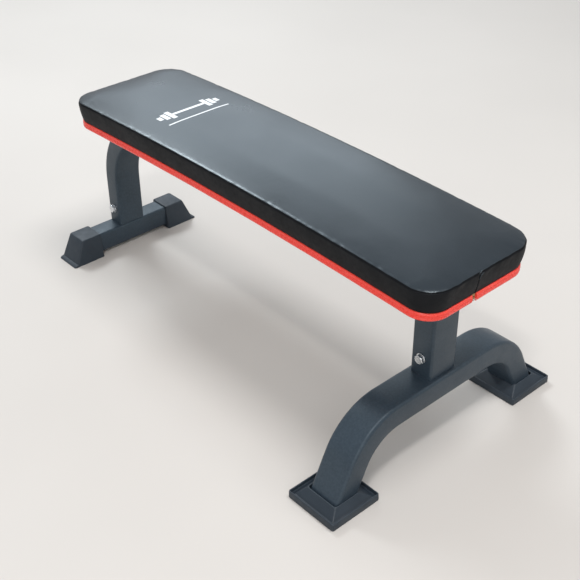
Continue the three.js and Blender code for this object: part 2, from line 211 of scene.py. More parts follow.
def plastic_material():
    """Black moulded plastic: fine spark-eroded texture, greyer on its sharp edges."""
    s = Shader("black_plastic", Specular_IOR_Level=0.42)
    cloud = s.noise(18.0, 4.0)
    spark = s.noise(1300.0, 3.0, 0.6)
    color = s.ramp(cloud, (0.3, (0.017, 0.026, 0.037)), (0.7, (0.025, 0.036, 0.049)))
    edge = s.wear(0.0012, 0.80, 0.97)
    color = s.mix(s.math("MULTIPLY", edge, 0.60), color, (0.15, 0.18, 0.21))
    normal = s.bump(spark, 0.42, 0.00022)
    rough = s.remap(s.noise(70.0, 5.0), 0.3, 0.7, 0.44, 0.58)
    return s.link(Base_Color=color, Roughness=rough, Normal=normal)


def zinc_material():
    """Bright zinc plate: cloudy, with faint turning marks."""
    s = Shader("zinc_plate", Metallic=1.0)
    cloud = s.noise(160.0, 4.0)
    color = s.ramp(cloud, (0.3, (0.62, 0.64, 0.66)), (0.72, (0.84, 0.86, 0.88)))
    dirt = s.remap(s.noise(420.0, 5.0), 0.60, 0.74, 0.0, 0.6)
    color = s.mix(dirt, color, (0.30, 0.29, 0.27))
    normal = s.bump(s.noise(1500.0, 2.0), 0.16, 0.0001)
    rough = s.remap(cloud, 0.3, 0.7, 0.20, 0.34)
    return s.link(Base_Color=color, Roughness=rough, Normal=normal)


def wood_material():
    """Plywood: long pale grain on the faces, darker layers on the edges."""
    s = Shader("plywood", Specular_IOR_Level=0.25)
    grain = s.noise(9.0, 8.0, 0.62, place=s.stretched(1.0, 9.0, 9.0))
    pores = s.noise(90.0, 5.0, 0.7, place=s.stretched(1.0, 12.0, 12.0))
    height = s.add("ShaderNodeSeparateXYZ", {0: s.place}).outputs["Z"]
    layer = s.math("PINGPONG", height, 0.0016)
    color = s.ramp(grain, (0.32, (0.30, 0.17, 0.075)), (0.5, (0.42, 0.26, 0.125)), (0.7, (0.52, 0.35, 0.185)))
    color = s.mix(s.remap(pores, 0.55, 0.72, 0.0, 0.5), color, (0.20, 0.11, 0.05))
    color = s.mix(s.remap(layer, 0.0003, 0.0010, 0.28, 0.0), color, (0.16, 0.085, 0.04))
    normal = s.bump(pores, 0.3, 0.0003, s.bump(grain, 0.2, 0.0006))
    rough = s.remap(grain, 0.3, 0.7, 0.58, 0.76)
    return s.link(Base_Color=color, Roughness=rough, Normal=normal)


def ink_material():
    """White screen print on vinyl, a little broken up by the grain."""
    s = Shader("white_print", Specular_IOR_Level=0.4)
    grain = s.noise(900.0, 4.0)
    color = s.ramp(grain, (0.30, (0.52, 0.53, 0.54)), (0.55, (0.80, 0.81, 0.82)))
    normal = s.bump(grain, 0.25, 0.0001)
    rough = s.remap(grain, 0.3, 0.7, 0.42, 0.56)
    return s.link(Base_Color=color, Roughness=rough, Normal=normal)


VINYL = vinyl_material()
SIDE_VINYL_PAINTED_SHADE = side_vinyl_painted_shade_material()
RED = red_material()
POWDER = powder_material()
PLASTIC = plastic_material()
ZINC = zinc_material()
WOOD = wood_material()
INK = ink_material()


# ---- Mesh helpers ----------------------------------------------------------------------------
def piece(name, parts, material, stands_for=(), crease=35.0, bevel=0.0):
    """One named object from (vertices, faces) parts, riding on the root body."""
    mesh = bpy.data.meshes.new(name)
    verts, faces = [], []
    for part_verts, part_faces in parts:
        start = len(verts)
        verts += [tuple(v) for v in part_verts]
        faces += [[start + i for i in face] for face in part_faces]
    mesh.from_pydata(verts, [], faces)
    bm = bmesh.new()
    bm.from_mesh(mesh)
    bmesh.ops.remove_doubles(bm, verts=bm.verts, dist=1e-6)
    bmesh.ops.recalc_face_normals(bm, faces=bm.faces)
    bm.to_mesh(mesh)
    bm.free()
    obj = bpy.data.objects.new(name, mesh)
    bpy.context.scene.collection.objects.link(obj)
    if bevel:
        soften(obj, bevel)
    mesh = obj.data
    mesh.materials.append(material)
    mesh.shade_smooth()
    mesh.set_sharp_from_angle(angle=math.radians(crease))
    return declare(obj, stands_for)


def declare(obj, stands_for=()):
    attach(obj, "root")
    if stands_for:
        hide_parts(*stands_for)
    return obj


def applied(obj):
    """Puts the result of obj's modifiers into its mesh."""
    graph = bpy.context.evaluated_depsgraph_get()
    mesh = bpy.data.meshes.new_from_object(obj.evaluated_get(graph))
    obj.modifiers.clear()
    obj.data = mesh
    return obj


def soften(obj, width, angle=50.0, segments=2):
    """Rounds obj's hard edges."""
    bevel = obj.modifiers.new("edges", "BEVEL")
    bevel.width = width
    bevel.segments = segments
    bevel.limit_method = "ANGLE"
    bevel.angle_limit = math.radians(angle)
    bevel.use_clamp_overlap = True
    return applied(obj)


def loft(loops, closed=False, cap=True):
    """Quads between closed loops of equal length. closed joins the last loop to the first."""
    n = len(loops[0])
    verts = [Vector(p) for loop in loops for p in loop]
    faces = []
    rounds = len(loops) if closed else len(loops) - 1
    for i in range(rounds):
        a, b = i * n, (i + 1) % len(loops) * n
        faces += [[a + j, a + (j + 1) % n, b + (j + 1) % n, b + j] for j in range(n)]
    if cap and not closed:
        faces.append(list(range(n)))
        faces.append([len(verts) - n + j for j in range(n)])
    return verts, faces


def rounded_rect(width, height, radius, steps=5):
    """Corner-rounded rectangle round (0, 0), as 2-D points."""
    points = []
    for quarter in range(4):
        sx, sy = ((1, -1), (1, 1), (-1, 1), (-1, -1))[quarter]
        cx, cy = sx * (width / 2 - radius), sy * (height / 2 - radius)
        for i in range(steps + 1):
            angle = (quarter - 1 + i / steps) * math.pi / 2
            points.append((cx + radius * math.cos(angle), cy + radius * math.sin(angle)))
    return points


def flat_loop(width, depth, radius, z, x=0.0, y=0.0, steps=5):
    """A horizontal rounded rectangle at height z."""
    return [Vector((x + px, y + py, z)) for px, py in rounded_rect(width, depth, radius, steps)]


def tube_frames(stations, across):
    """(place, tangent, normal) at each station of a flat path."""
    frames = []
    for i, here in enumerate(stations):
        before, after = stations[max(i - 1, 0)], stations[min(i + 1, len(stations) - 1)]
        tangent = (after - before).normalized()
        frames.append((here, tangent, tangent.cross(across).normalized()))
    return frames


def tube(stations, across, width, depth, corner, wall=2 * MM, floors=(None, None)):
    """A hollow rounded tube along stations. floors cuts its first or last end level at that height."""
    frames = tube_frames(stations, across)
    shells = []
    for inset in (0.0, wall):
        section = rounded_rect(width - 2 * inset, depth - 2 * inset, corner - inset * 0.7)
        loops = []
        for i, (here, tangent, normal) in enumerate(frames):
            loop = [here + across * u + normal * v for u, v in section]
            level = floors[0] if i == 0 else floors[1] if i == len(frames) - 1 else None
            if level is not None:
                loop = [p + tangent * ((level - p.z) / tangent.z) for p in loop]
            loops.append(loop)
        shells.append(loops)
    return loft(shells[0] + shells[1][::-1], closed=True)


def arc_points(centre, radius, start, end, steps, plane):
    """Points on an arc. plane maps (along, up) to a 3-D point."""
    points = []
    for i in range(steps + 1):
        angle = start + (end - start) * i / steps
        points.append(plane(centre[0] + radius * math.cos(angle), centre[1] + radius * math.sin(angle)))
    return points


def turned(profile, axis, at, around=None, sides=40):
    """A profile of (radius, height) turned about axis at a point. around(angle) limits the radius."""
    along = Vector(axis).normalized()
    side = along.orthogonal().normalized()
    up = along.cross(side)
    loops = []
    for radius, height in profile:
        loop = []
        for i in range(sides):
            angle = 2 * math.pi * i / sides
            r = min(radius, around(angle)) if around else radius
            loop.append(Vector(at) + along * height + (side * math.cos(angle) + up * math.sin(angle)) * r)
        loops.append(loop)
    return loft(loops)


def hexagon(across_flats):
    """Radius of a hexagon's side at an angle."""
    def around(angle):
        nearest = (angle % (math.pi / 3)) - math.pi / 6
        return across_flats / 2 / math.cos(nearest)
    return around


def weld(points, radius=2.2 * MM, ripple=3.2 * MM):
    """A weld bead: overlapping scallops along a line of points."""
    path = [Vector(p) for p in points]
    lengths = [0.0]
    for a, b in zip(path, path[1:]):
        lengths.append(lengths[-1] + (b - a).length)
    count = max(8, int(lengths[-1] / ripple * 5))
    loops = []
    for i in range(count + 1):
        s = lengths[-1] * i / count
        k = min(max(j for j, d in enumerate(lengths) if d <= s + 1e-9), len(path) - 2)
        a, b = path[k], path[k + 1]
        tangent = (b - a).normalized()
        centre = a + tangent * (s - lengths[k])
        side = tangent.orthogonal().normalized()
        up = tangent.cross(side)
        scallop = 0.86 + 0.14 * abs(math.sin(math.pi * s / ripple))
        ends = math.sqrt(max(0.05, 1 - (2 * i / count - 1) ** 8))
        r = radius * scallop * ends
        loops.append([centre + (side * math.cos(t) + up * math.sin(t)) * r
                      for t in (2 * math.pi * j / 10 for j in range(10))])
    return loft(loops)


# ---- Cushion ---------------------------------------------------------------------------------
SEAM_RISE = 45 * MM  # height of the top panel's seam above the board
END_SEAM_Y = -19 * MM  # where the side band's two ends are sewn together, on the near end


def outline_points(half_long, half_wide, corner, spacing):
    """(place, outward normal) round the pad, from the near end's seam, with finer steps there."""
    straight_x, straight_y = half_long - corner, half_wide - corner
    quarter = corner * math.pi / 2
    near = [END_SEAM_Y + d * MM for d in (0, 0.5, 1, 1.6, 2.4, 3.4, 4.8, 6.5, 8.5, 11, 14)]
    ahead = near[-1]
    count = round((straight_y - ahead) / spacing)
    rows = [(half_long, y) for y in near[:-1]]
    rows += [(half_long, ahead + (straight_y - ahead) * i / count) for i in range(count)]
    normals = [(1.0, 0.0)] * len(rows)
    sides = (((1, 1), 0.0, 2 * straight_x), ((-1, 1), math.pi / 2, 2 * straight_y),
             ((-1, -1), math.pi, 2 * straight_x), ((1, -1), 1.5 * math.pi, 0.0))
    for (sx, sy), start, run in sides:
        steps = round(quarter / (spacing * 0.8))
        centre = Vector((sx * straight_x, sy * straight_y))
        for i in range(steps):
            angle = start + i / steps * math.pi / 2
            n = Vector((math.cos(angle), math.sin(angle)))
            rows.append(tuple(centre + n * corner))
            normals.append(tuple(n))
        n = Vector((math.cos(start + math.pi / 2), math.sin(start + math.pi / 2)))
        along = Vector((-n.y, n.x))
        count = round(run / spacing)
        for i in range(count):
            rows.append(tuple(centre + n * corner + along * (run * i / count)))
            normals.append(tuple(n))
    behind = near[0] - 14 * MM
    count = round((behind + straight_y) / spacing)
    rows += [(half_long, -straight_y + (behind + straight_y) * i / count) for i in range(count)]
    rows += [(half_long, END_SEAM_Y - d * MM) for d in (14, 11, 8.5, 6.5, 4.8, 3.4, 2.4, 1.6, 1, 0.5)]
    normals += [(1.0, 0.0)] * (len(rows) - len(normals))
    return rows, normals


# Side band and edge roll: (inset from the widest outline, height above the board), in mm.
SIDE_PROFILE = ((9.0, 0.4), (7.2, 0.8), (6.2, 2.0), (5.6, 4.0), (4.7, 8.0), (3.7, 13.0), (2.8, 18.0),
                (2.0, 23.0), (1.3, 28.0), (0.7, 33.0), (0.3, 37.5), (0.05, 41.0), (0.0, 43.2), (0.2, 44.0))
SEAM_PROFILE = ((0.9, 44.4), (2.0, 44.7), (2.5, 45.0), (1.9, 45.3), (1.1, 45.6))
ROLL_PROFILE = ((0.9, 46.0), (1.1, 46.5), (1.9, 47.2), (3.3, 47.9), (5.3, 48.6), (8.0, 49.2), (12.0, 49.85),
                (18.0, 50.55), (26.0, 51.15), (33.0, 51.45), (40.0, 51.6))
CROWN = 0.3 * MM  # further rise from the ring at TOP_INSET to the pad's middle
TOP_ROWS = 9


def cushion_loops(spacing):
    """The pad's rings from its underside up and in to the middle, and the outline's places."""
    rows, normals = outline_points(PAD_HALF, PAD_WIDE, PAD_CORNER, spacing)
    loops = []
    for inset, rise in SIDE_PROFILE + SEAM_PROFILE + ROLL_PROFILE:
        loop = []
        for (x, y), (nx, ny) in zip(rows, normals):
            px, py = PAD_X + x - nx * inset * MM, y - ny * inset * MM
            loop.append(Vector((px, py, BOARD_TOP + camber(px) + rise * MM)))
        loops.append(loop)
    ring = loops[-1]
    spine = PAD_HALF - PAD_WIDE
    for k in range(1, TOP_ROWS + 1):
        share = k / TOP_ROWS
        loop = []
        for p in ring:
            target_x = PAD_X + max(-spine, min(spine, p.x - PAD_X))
            x = p.x + (target_x - p.x) * share
            y = p.y * (1 - share)
            rise = ROLL_PROFILE[-1][1] * MM + CROWN * math.sin(share * math.pi / 2)
            loop.append(Vector((x, y, BOARD_TOP + camber(x) + rise)))
        loops.append(loop)
    return loops, rows, normals


def cushion_shell(spacing):
    loops, rows, normals = cushion_loops(spacing)
    n = len(rows)
    verts, faces = loft(loops, cap=False)
    faces.append(list(range(n)))
    return verts, faces, n, rows, normals


def raw_object(name, verts, faces, merge=0.0):
    mesh = bpy.data.meshes.new(name)
    mesh.from_pydata([tuple(v) for v in verts], [], faces)
    if merge:
        bm = bmesh.new()
        bm.from_mesh(mesh)
        bmesh.ops.remove_doubles(bm, verts=bm.verts, dist=merge)
        bmesh.ops.recalc_face_normals(bm, faces=bm.faces)
        bm.to_mesh(mesh)
        bm.free()
    obj = bpy.data.objects.new(name, mesh)
    bpy.context.scene.collection.objects.link(obj)
    return obj


SWELL_CAP = 5 * MM


def swelling():
    """Simulates the stuffed cover and returns a function from a point to how far it moved."""
    verts, faces, *_ = cushion_shell(14 * MM)
    shrunk = []
    for v in verts:
        middle = BOARD_TOP + camber(v.x)
        shrunk.append(Vector((PAD_X + (v.x - PAD_X) * 0.997, v.y * 0.985, middle + (v.z - middle) * 0.965)))
    proxy = raw_object("swell", shrunk, faces, merge=1e-5)
    remesh = proxy.modifiers.new("voxels", "REMESH")
    remesh.mode = "VOXEL"
    remesh.voxel_size = 6 * MM
    applied(proxy)
    start = np.array([v.co for v in proxy.data.vertices])
    held = proxy.vertex_groups.new(name="held")
    for v in proxy.data.vertices:
        rise = v.co.z - BOARD_TOP - camber(v.co.x)
        edge = abs(v.co.y) > PAD_WIDE - 9 * MM or abs(v.co.x - PAD_X) > PAD_HALF - 9 * MM
        at_seam = edge and abs(rise - 0.965 * SEAM_RISE) < 4 * MM
        held.add([v.index], 1.0 if rise < 5 * MM else 0.85 if at_seam else 0.0, "REPLACE")
    cloth = proxy.modifiers.new("cover", "CLOTH")
    settings = cloth.settings
    settings.quality = 4
    settings.mass = 0.35
    settings.tension_stiffness = 18
    settings.compression_stiffness = 18
    settings.shear_stiffness = 6
    settings.bending_stiffness = 1.2
    settings.use_pressure = True
    settings.uniform_pressure_force = 4.0
    settings.vertex_group_mass = "held"
    settings.pin_stiffness = 3.0
    settings.effector_weights.gravity = 0.0
    cloth.point_cache.frame_start = 1
    cloth.point_cache.frame_end = 20
    scene = bpy.context.scene
    for step in range(1, 21):
        scene.frame_set(step)
    graph = bpy.context.evaluated_depsgraph_get()
    after = np.array([v.co for v in proxy.evaluated_get(graph).data.vertices])
    scene.frame_set(1)
    moved = after - start
    length = np.linalg.norm(moved, axis=1, keepdims=True)
    moved *= np.minimum(1.0, SWELL_CAP / np.maximum(length, 1e-9))
    tree = KDTree(len(start))
    for i, p in enumerate(start):
        tree.insert(Vector(p), i)
    tree.balance()
    bpy.data.objects.remove(proxy)

    def field(point):
        total, weight = np.zeros(3), 0.0
        for _, i, distance in tree.find_n(point, 8):
            w = 1 / (distance + 2 * MM) ** 2
            total += moved[i] * w
            weight += w
        return Vector(total / weight)

    return field


def ripple(s, *waves):
    """A fixed sum of sines along distance s: (wavelength, phase, height) each."""
    return sum(height * math.sin(2 * math.pi * s / length + phase) for length, phase, height in waves)


def pucker(s, corner, near):
    """How far the sewn edge is drawn in at distance s along the seam, in metres."""
    base = ripple(s, (0.031, 0.3, 0.15), (0.047, 1.9, 0.20), (0.071, 4.1, 0.18), (0.023, 2.2, 0.07))
    return MM * base * (1.2 + 1.2 * corner + 0.7 * near)


def build_cushion():
    verts, faces, n, rows, normals = cushion_shell(4.5 * MM)
    field = swelling()
    side_rows = len(SIDE_PROFILE)
    seam_rows = len(SEAM_PROFILE)
    distance = [0.0]
    for (x0, y0), (x1, y1) in zip(rows, rows[1:]):
        distance.append(distance[-1] + math.hypot(x1 - x0, y1 - y0))
    shaped = []
    for index, v in enumerate(verts):
        row, col = divmod(index, n)
        y = rows[col][1]
        nx, ny = normals[col]
        s = distance[col]
        rise = v.z - BOARD_TOP - camber(v.x)
        out = Vector((nx, ny, 0))
        corner = 4 * nx * nx * ny * ny
        near = max(0.0, nx) ** 2
        p = v.copy()
        if field is not None:
            move = field(v)
            rim = min(1.0, rise / (6 * MM))
            p += Vector((move.x, move.y, max(move.z, -1 * MM))) * 0.55 * rim
            p.z -= 0.8 * MM * min(1.0, rise / SEAM_RISE)
        draw = pucker(s, corner, near)
        if row < side_rows + seam_rows:
            below = max(0.0, SEAM_RISE - rise)
            fade = math.exp(-((below / (9 * MM)) ** 2))
            p -= out * draw * fade
            slack = ripple(s, (0.131, 0.8, 0.35), (0.077, 2.9, 0.25), (0.23, 4.4, 0.4)) * MM
            p += out * slack * math.sin(math.pi * min(1.0, rise / SEAM_RISE))
        else:
            inset = (ROLL_PROFILE[min(row - side_rows - seam_rows, len(ROLL_PROFILE) - 1)][0]) * MM
            fade = math.exp(-((inset / (9 * MM)) ** 2))
            p += out * -draw * 0.6 * fade
            p.z -= abs(draw) * 0.9 * fade
        if row < side_rows + 3:
            lean = 1.8 * MM * (1 - min(1.0, rise / (20 * MM))) ** 2
            across = y - END_SEAM_Y + (lean if nx > 0.99 else 0.0)
            if nx > 0.99 and abs(across) < 12 * MM and rise > 1 * MM:
                groove = math.exp(-((across / (1.0 * MM)) ** 2)) * 2.4 * MM
                swell = 0.5 * MM * math.exp(-(((across - 4 * MM) / (3 * MM)) ** 2))
                p += out * (swell - groove)
        shaped.append(p)
    obj = raw_object("cushion", shaped, faces, merge=2e-5)
    mesh = obj.data
    mesh.materials.append(VINYL)
    mesh.materials.append(SIDE_VINYL_PAINTED_SHADE)
    # the darker side colour runs two rows above the seam onto the roll: a dark line at the seam, and painted
    # shade along the far silhouette's edge
    shaded_band_rows = side_rows + seam_rows + 2
    for face in mesh.polygons:
        face.material_index = 0 if face.index // n >= shaded_band_rows else 1
    mesh.shade_smooth()
    mesh.set_sharp_from_angle(angle=math.radians(62))
    return declare(obj, ("vinyl_cover", "foam_core"))


cushion = build_cushion()


def surface_tree(obj):
    return BVHTree.FromPolygons([v.co for v in obj.data.vertices], [p.vertices[:] for p in obj.data.polygons])


PAD_SURFACE = surface_tree(cushion)


def strip(points, outs, half_width, height, taper=True):
    """A low rounded ridge along points, standing out along outs."""
    loops = []
    last = len(points) - 1
    for i, (p, out) in enumerate(zip(points, outs)):
        tangent = (points[min(i + 1, last)] - points[max(i - 1, 0)]).normalized()
        side = tangent.cross(out).normalized()
        scale = math.sqrt(max(0.03, 1 - (2 * i / last - 1) ** 6)) if taper else 1.0
        loop = []
        for j in range(10):
            angle = 2 * math.pi * j / 10
            loop.append(p + (side * half_width * math.cos(angle) + out * height * math.sin(angle)) * scale)
        loops.append(loop)
    return loft(loops)


def seam_tuck():
    """The folded end of the band's seam where it meets the top panel: a flap turned along the edge."""
    folds = (
        (((-19.4, 27), (-19.2, 33), (-19.0, 37), (-18.4, 42.4), (-16.4, 45.0), (-12, 46.3), (-5, 46.6)),
         0.9, 1.5),
        (((-17.0, 32), (-16.2, 35.5), (-14.4, 39.6), (-11, 41.8), (-6.5, 42.8)), 0.8, 0.9),
    )
    parts = []
    for knots, half_width, height in folds:
        points, outs = [], []
        for (y0, z0), (y1, z1) in zip(knots, knots[1:]):
            for k in range(4):
                y = (y0 + (y1 - y0) * k / 4) * MM
                z = BOARD_TOP + camber(PAD_X + PAD_HALF) + (z0 + (z1 - z0) * k / 4) * MM
                start = Vector((PAD_X + PAD_HALF + 0.05, y, z))
                hit, normal, *_ = PAD_SURFACE.ray_cast(start, Vector((-1, 0, 0)))
                points.append(hit)
                outs.append(normal if normal.x > 0 else -normal)
        parts.append(strip(points, outs, half_width * MM, height * MM))
    piece("seam_tuck", parts, VINYL, crease=80)


seam_tuck()


def top_print():
    """A plain generic mark: a dumbbell drawn with bars, over one thin rule."""
    centre_x, centre_y = PAD_X - 0.282, 0.0
    bars = [(0.0, 0.0, 8, 82)]
    for side in (-1, 1):
        bars += [(0.0, side * 47, 38, 11), (0.0, side * 61, 28, 11), (0.0, side * 74.5, 16, 10)]
    bars.append((38, 0.0, 4, 158))
    parts = []
    for x, y, long, wide in bars:
        nx, ny = max(2, round(long / 3)), max(2, round(wide / 3))
        grid = []
        for i in range(nx + 1):
            for j in range(ny + 1):
                px = centre_x + (x + long * (i / nx - 0.5)) * MM
                py = centre_y + (y + wide * (j / ny - 0.5)) * MM
                hit, *_ = PAD_SURFACE.ray_cast(Vector((px, py, 1.0)), Vector((0, 0, -1)))
                grid.append(hit)
        m = ny + 1
        faces = [[i * m + j, i * m + j + 1, (i + 1) * m + j + 1, (i + 1) * m + j]
                 for i in range(nx) for j in range(ny)]
        top = [p + Vector((0, 0, 0.25 * MM)) for p in grid]
        low = [p - Vector((0, 0, 0.15 * MM)) for p in grid]
        rim = [i * m for i in range(nx)] + [nx * m + j for j in range(ny)]
        rim += [i * m + ny for i in range(nx, 0, -1)] + [j for j in range(ny, 0, -1)]
        count = len(grid)
        shell = faces + [[count + i for i in face[::-1]] for face in faces]
        shell += [[a, b, count + b, count + a] for a, b in zip(rim, rim[1:] + rim[:1])]
        parts.append((top + low, shell))
    piece("generic_print", parts, INK, crease=50)


top_print()

# ---- Board and red edging --------------------------------------------------------------------
TRIM_JOINT_Y = -20 * MM
TRIM_JOINT = 10 * MM
# Section of the edging, from its lower inner corner: (out from the board, up), in mm.
TRIM_SECTION = ((0.2, 0.0), (1.4, 0.1), (2.3, 0.5), (2.85, 1.3), (3.2, 2.6), (3.42, 4.2), (3.46, 5.2),
                (3.3, 5.5), (2.6, 5.8), (2.6, 6.5), (3.36, 6.8), (3.55, 7.4), (3.55, 8.2), (3.36, 8.9),
                (2.6, 9.2), (2.6, 9.9), (3.34, 10.2), (3.42, 10.8), (3.34, 11.8), (3.05, 13.1),
                (2.5, 14.2), (1.5, 14.9), (0.2, 15.0), (0.2, 8.7), (-8.6, 8.7), (-9.0, 8.2), (-9.0, 6.8),
                (-8.6, 6.3), (0.2, 6.3))


def edging_path(spacing=7 * MM):
    """Board outline from one side of the joint round to the other: place and outward normal."""
    sx, sy = BOARD_HALF - BOARD_CORNER, BOARD_WIDE - BOARD_CORNER
    path = []

    def line(a, b, normal):
        count = max(2, round((Vector(b) - Vector(a)).length / spacing))
        path.extend((Vector(a).lerp(Vector(b), i / count), Vector(normal)) for i in range(count))

    def bend(centre, start):
        for i in range(18):
            angle = start + i / 18 * math.pi / 2
            n = Vector((math.cos(angle), math.sin(angle)))
            path.append((Vector(centre) + n * BOARD_CORNER, n))

    first, last = TRIM_JOINT_Y + TRIM_JOINT / 2, TRIM_JOINT_Y - TRIM_JOINT / 2
    line((BOARD_HALF, first), (BOARD_HALF, sy), (1, 0))
    bend((sx, sy), 0.0)
    line((sx, BOARD_WIDE), (-sx, BOARD_WIDE), (0, 1))
    bend((-sx, sy), math.pi / 2)
    line((-BOARD_HALF, sy), (-BOARD_HALF, -sy), (-1, 0))
    bend((-sx, -sy), math.pi)
    line((-sx, -BOARD_WIDE), (sx, -BOARD_WIDE), (0, -1))
    bend((sx, -sy), 1.5 * math.pi)
    line((BOARD_HALF, -sy), (BOARD_HALF, last), (1, 0))
    path.append((Vector((BOARD_HALF, last)), Vector((1, 0))))
    return path


def build_edging():
    loops = []
    travelled = 0.0
    path = edging_path()
    for i, (p, n) in enumerate(path):
        travelled += (p - path[i - 1][0]).length if i else 0.0
        proud = 0.7 * math.exp(-travelled / 0.035)  # the end on the right has sprung out a little
        wave = ripple(travelled, (0.19, 0.5, 0.10), (0.083, 2.0, 0.06))
        loop = []
        for out, up in TRIM_SECTION:
            reach = out + (proud + wave if out > 0.5 else 0.0)
            x, y = PAD_X + p.x + n.x * reach * MM, p.y + n.y * reach * MM
            loop.append(Vector((x, y, BOARD_Z + camber(x) + (up + proud * (up / 15)) * MM)))
        loops.append(loop)
    piece("edge_trim_band", [loft(loops)], RED, ("edge_trim",), crease=38)


build_edging()


def build_staple():
    """The staple that holds the edging's ends: bent round wire."""
    low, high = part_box("edge_trim_staple")
    wire = 0.6 * MM
    x_out, x_in, z = low.x + wire, high.x - wire, (low.z + high.z) / 2
    y0, y1 = low.y + wire, high.y - wire
    corner = 1.3 * MM
    path = [Vector((x_out + 2 * MM, y0 + 1.2 * MM, z - 1 * MM))]
    path += arc_points((x_out + corner - 2 * MM, y0 + corner), corner, 1.5 * math.pi, math.pi, 5,
                       lambda a, b: Vector((a + 2 * MM, b, z)))
    path += arc_points((x_out + corner - 2 * MM, y1 - corner), corner, math.pi, math.pi / 2, 5,
                       lambda a, b: Vector((a + 2 * MM, b, z)))
    path.append(Vector((x_in, y1 - 0.2 * MM, z + 0.6 * MM)))
    ups = [Vector((0, 0, 1))] * len(path)
    bent = strip(path, ups, wire, wire, taper=False)
    piece("trim_staple", [bent], ZINC, ("edge_trim_staple",))


build_staple()

# ---- Beam, rear leg and post -----------------------------------------------------------------
BASE_LOW, BASE_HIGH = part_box("rear_base_tube")
BASE_X = (BASE_LOW.x + BASE_HIGH.x) / 2
BEAM_WIDE, BEAM_DEEP = 70 * MM, 45 * MM
BEND_RADIUS = 176 * MM
POST_LOW, POST_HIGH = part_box("front_post")
POST_X = (POST_LOW.x + POST_HIGH.x) / 2
CORNER = 6 * MM
PLATE_GAP = 0.3 * MM
PLATE_REST = BOARD_Z - 5.3 * MM  # underside of the mount plates before the camber


def beam_z(x):
    return PLATE_REST - PLATE_GAP + camber(x) - BEAM_DEEP / 2


def build_beam():
    start_x = BASE_X + BEND_RADIUS
    bend_z = beam_z(start_x) - BEND_RADIUS
    stations = [Vector((BASE_X, 0, BASE_HIGH.z + PLATE_GAP)), Vector((BASE_X, 0, 0.09))]
    stations += [Vector((BASE_X, 0, 0.13))]
    stations += arc_points((start_x, bend_z), BEND_RADIUS, math.pi, math.pi / 2, 44,
                           lambda a, b: Vector((a, 0, b)))
    across = Vector((0, 1, 0))
    leg = tube(stations, across, BEAM_WIDE, BEAM_DEEP, CORNER)
    piece("bent_rear_leg", [leg], POWDER, ("rear_leg",), crease=40)
    butt_x, end_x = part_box("main_beam")[0].x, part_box("main_beam")[1].x
    straight = [Vector((x, 0, beam_z(x))) for x in np.linspace(butt_x, end_x, 40)]
    piece("straight_beam", [tube(straight, across, BEAM_WIDE, BEAM_DEEP, CORNER)], POWDER,
          ("main_beam",), crease=40)
    ring = [Vector((butt_x, u, beam_z(butt_x) + v)) for u, v in rounded_rect(BEAM_WIDE, BEAM_DEEP, CORNER)]
    piece("butt_weld", [weld(ring + ring[:1], 2.4 * MM)], POWDER, crease=80)


build_beam()


def build_post():
    stations = [Vector((POST_X, 0, z)) for z in np.linspace(POST_LOW.z, POST_HIGH.z, 8)]
    size_x, size_y = POST_HIGH.x - POST_LOW.x, POST_HIGH.y - POST_LOW.y
    body = tube(stations, Vector((0, 1, 0)), size_y, size_x, CORNER)
    piece("front_upright", [body], POWDER, ("front_post",), crease=40)
    top = POST_HIGH.z - 0.2 * MM
    ring = flat_loop(size_x + 1.5 * MM, size_y - 6 * MM, CORNER, top, POST_X, 0.0)
    piece("post_weld", [weld(ring + ring[:1])], POWDER, crease=80)


build_post()


def build_base_tube():
    stations = [Vector((BASE_X, y, (BASE_LOW.z + BASE_HIGH.z) / 2))
                for y in np.linspace(BASE_LOW.y, BASE_HIGH.y, 12)]
    size = BASE_HIGH.x - BASE_LOW.x
    body = tube(stations, Vector((1, 0, 0)), size, size, CORNER)
    piece("base_crossbar", [body], POWDER, ("rear_base_tube",), crease=40)


build_base_tube()

ARCH_LOW, ARCH_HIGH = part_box("arched_leg")
ARCH_DEEP, ARCH_FLAT, ARCH_RADIUS, ARCH_LEAN = 50 * MM, 122 * MM, 110 * MM, math.radians(64)


def build_arch():
    centre_z = ARCH_HIGH.z - ARCH_DEEP / 2
    floor = ARCH_LOW.z
    half = []
    for i in range(29):
        angle = ARCH_LEAN * i / 28
        half.append((ARCH_FLAT + ARCH_RADIUS * math.sin(angle),
                     centre_z - ARCH_RADIUS * (1 - math.cos(angle))))
    y, z = half[-1]
    run = (z - floor) / math.sin(ARCH_LEAN)
    half += [(y + run * k * math.cos(ARCH_LEAN), z - run * k * math.sin(ARCH_LEAN)) for k in (0.3, 0.7, 1.0)]
    stations = [Vector((POST_X, -y, z)) for y, z in reversed(half)]
    stations += [Vector((POST_X, y, z)) for y, z in half]
    wide = ARCH_HIGH.x - ARCH_LOW.x
    body = tube(stations, Vector((1, 0, 0)), wide, ARCH_DEEP, CORNER + 1 * MM, floors=(floor, floor))
    piece("arch_leg_tube", [body], POWDER, ("arched_leg",), crease=40)


build_arch()


